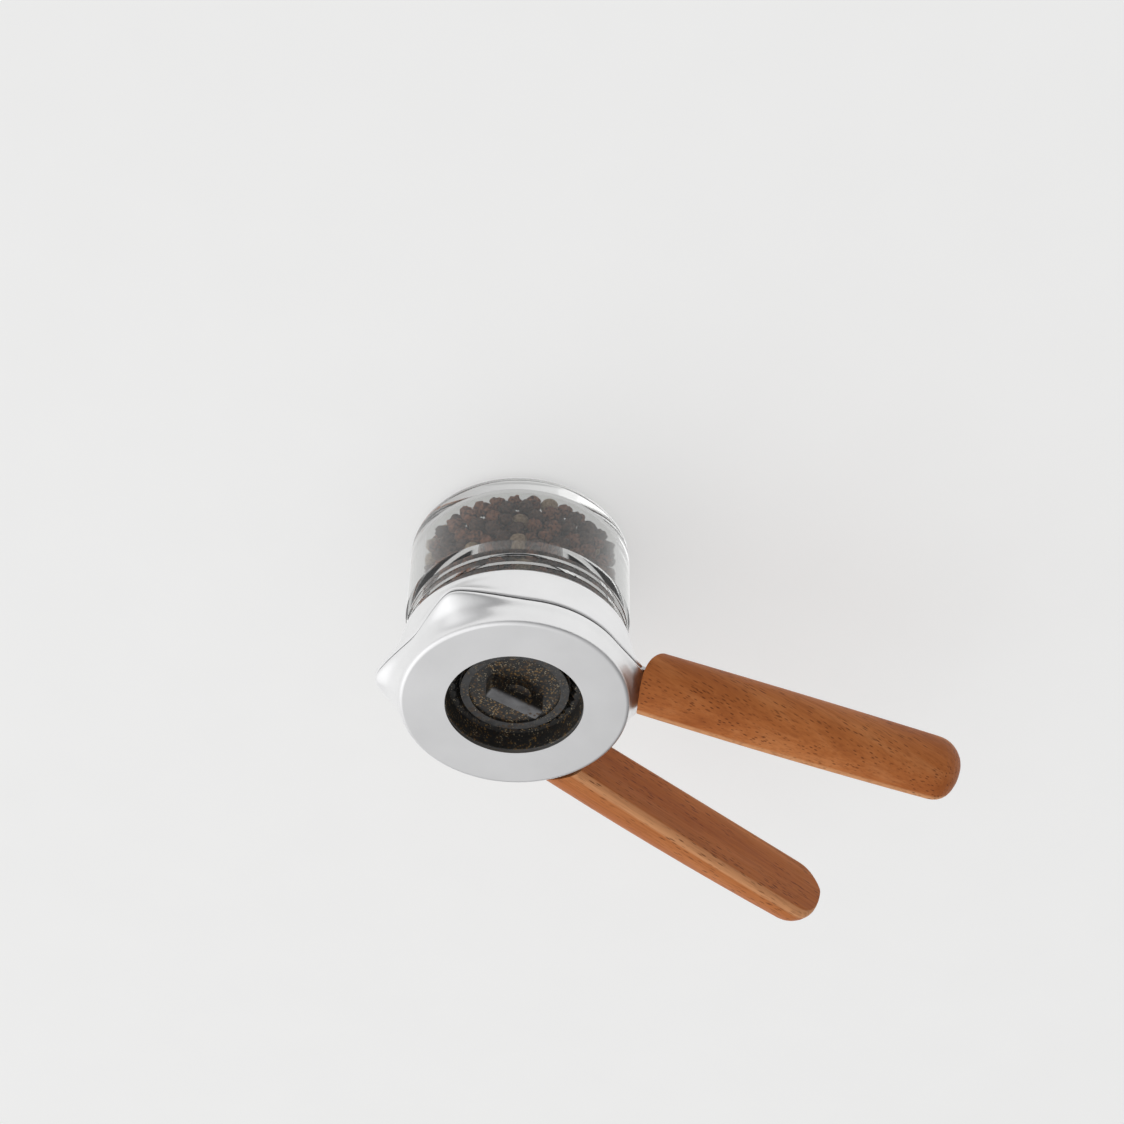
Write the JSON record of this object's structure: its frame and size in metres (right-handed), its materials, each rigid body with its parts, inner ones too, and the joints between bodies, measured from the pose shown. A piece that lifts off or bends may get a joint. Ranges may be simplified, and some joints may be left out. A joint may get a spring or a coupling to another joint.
{
  "type": "pepper mill",
  "caption": "Hand-held squeeze-handle pepper mill: screw-on glass jar, two-shell metal head with lugs, ratchet-driven ceramic burrs, grind dial and beech grips.",
  "frame": {"origin": "centre of the jar's flat base, on the mill's axis", "axes": "+Z along the mill's axis from the jar's base to the outlet, +X along the middle of the two handles, fixed handle on the +Y side and moving handle on the -Y side"},
  "size_m": [0.1485, 0.0754, 0.0555],
  "materials": {
    "clear_glass": "clear, thick wall",
    "silicone": "soft matt",
    "satin_metal": "satin, fine brushed",
    "cast_metal": "satin casting",
    "steel": "brushed",
    "spring_steel": "drawn wire",
    "beech": "satin lacquer over steamed beech",
    "nylon": "matt",
    "black_plastic": "matt, dusted",
    "ceramic": "dark fired ceramic, matt",
    "brass": "turned"
  },
  "bodies": {
    "housing": {"upper_shell": "satin_metal", "lower_shell": "satin_metal", "housing_dowels": "steel", "fixed_tang": "steel", "fixed_handle": "beech", "burr_carrier": "black_plastic", "carrier_screws": "steel", "outer_burr": "ceramic", "rotor_bush": "nylon"},
    "lever": {"drive_lever": "cast_metal", "moving_handle": "beech", "pawl_pins": "steel", "return_spring": "spring_steel", "pawl_spring_a": "spring_steel", "pawl_spring_b": "spring_steel"},
    "pawl_a": {"pawl_a": "steel"},
    "pawl_b": {"pawl_b": "steel"},
    "rotor": {"ratchet_rotor": "nylon", "spindle": "steel", "adjust_spring": "spring_steel"},
    "burr": {"inner_burr": "ceramic", "thrust_washer": "steel"},
    "dial": {"adjust_dial": "black_plastic", "dial_nut": "brass"},
    "seal": {"jar_gasket": "silicone"},
    "jar": {"glass_jar": "clear_glass"}
  },
  "joints": [
    {"name": "lever_squeeze", "type": "hinge", "parent": "housing", "child": "lever", "pos_m": [0, 0, 0.0473], "axis": [0, 0, 1], "range_deg": [0, 25], "stiffness_Nm_per_rad": 0.6, "springref_deg": -8.59, "deforming": ["return_spring"]},
    {"name": "rotor_spin", "type": "hinge", "parent": "housing", "child": "rotor", "pos_m": [0, 0, 0.0473], "axis": [0, 0, 1], "range_deg": [0, 25]},
    {"name": "pawl_a_lift", "type": "hinge", "parent": "lever", "child": "pawl_a", "pos_m": [0.01235, 0.02139, 0.0488], "axis": [0, 0, -1], "range_deg": [0, 8], "stiffness_Nm_per_rad": 0.0005, "deforming": ["pawl_spring_a"]},
    {"name": "pawl_b_lift", "type": "hinge", "parent": "lever", "child": "pawl_b", "pos_m": [-0.01235, -0.02139, 0.0488], "axis": [0, 0, -1], "range_deg": [0, 8], "stiffness_Nm_per_rad": 0.0005, "deforming": ["pawl_spring_b"]},
    {"name": "burr_adjust", "type": "slide", "parent": "rotor", "child": "burr", "axis": [0, 0, -1], "range_m": [0, 0.0007], "stiffness_N_per_m": 300, "springref_m": -0.001, "deforming": ["adjust_spring"]},
    {"name": "dial_turn", "type": "hinge", "parent": "burr", "child": "dial", "pos_m": [0, 0, 0.0505], "axis": [0, 0, -1], "range_deg": [0, 360]},
    {"name": "jar_lift", "type": "slide", "parent": "housing", "child": "seal", "axis": [0, 0, -1], "range_m": [0, 0.006]},
    {"name": "jar_turn", "type": "hinge", "parent": "seal", "child": "jar", "pos_m": [0, 0, 0.02], "axis": [0, 0, -1], "range_deg": [0, 720]}
  ],
  "couplings": [
    {"joint": "rotor_spin", "follows": "lever_squeeze", "ratio": 1},
    {"joint": "dial_turn", "follows": "burr_adjust", "rad_per_m": 8976},
    {"joint": "jar_turn", "follows": "jar_lift", "rad_per_m": 2094.4}
  ]
}
